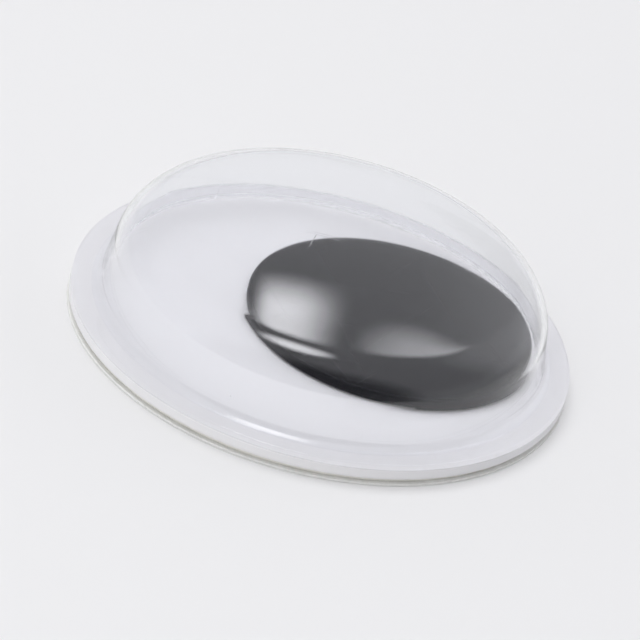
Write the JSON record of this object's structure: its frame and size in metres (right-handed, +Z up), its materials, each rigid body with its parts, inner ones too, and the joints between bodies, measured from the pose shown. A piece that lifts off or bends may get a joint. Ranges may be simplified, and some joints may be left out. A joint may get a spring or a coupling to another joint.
{
  "type": "adhesive craft eye",
  "caption": "Round stick-on wiggle eye: a clear flanged dome on a white backing disc shuts in a loose black pupil, with an adhesive pad and a peel-off liner behind.",
  "frame": {"origin": "centre of the release liner's lower face, on which the eye lies", "axes": "+Z up through the dome's crown; +X to the side of the dome that the pupil rests against"},
  "size_m": [0.018, 0.018, 0.0046],
  "materials": {
    "liner_paper": "matt siliconed paper",
    "adhesive": "tacky translucent adhesive",
    "white_backing": "smooth white plastic",
    "clear_film": "clear glossy formed film",
    "black_pupil": "smooth black plastic"
  },
  "bodies": {
    "eye_case": {"release_liner": "liner_paper", "adhesive_pad": "adhesive", "backing_disc": "white_backing", "clear_dome": "clear_film"},
    "pupil": {"pupil": "black_pupil"}
  },
  "joints": [
    {"name": "pupil_slide", "type": "slide", "parent": "eye_case", "child": "pupil", "axis": [1, 0, 0], "range_m": [-0.00514, 0]}
  ]
}
